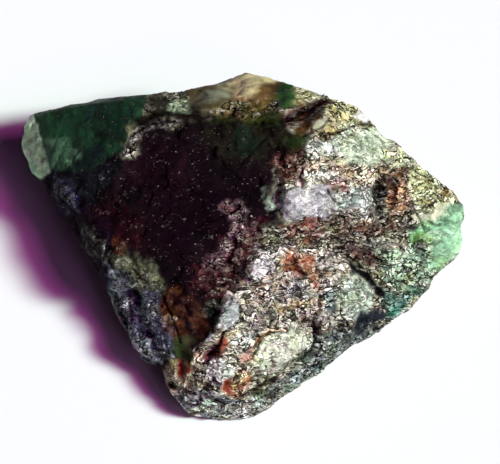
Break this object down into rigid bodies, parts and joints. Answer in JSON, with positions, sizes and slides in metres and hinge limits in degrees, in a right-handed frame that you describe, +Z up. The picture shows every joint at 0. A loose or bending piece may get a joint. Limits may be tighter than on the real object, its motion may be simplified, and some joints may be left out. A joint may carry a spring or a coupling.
{
  "type": "rough mineral specimen",
  "caption": "Rough hand-sized chip of stone: a short dark green crystal end, a quartz lump and flaky mica rock grown together in one wedge-shaped piece that lies on a flat break.",
  "frame": {"origin": "middle of the stone's box, at the height of the flat break that it rests on", "axes": "+X from the green crystal end towards the pale green tip, +Y away from the viewer, +Z up"},
  "size_m": [0.045, 0.033, 0.0188],
  "materials": {
    "rough_beryl": "broken mineral, glassy to dull, with small mica glints"
  },
  "bodies": {
    "root": {"beryl_stone": "rough_beryl"}
  },
  "joints": []
}
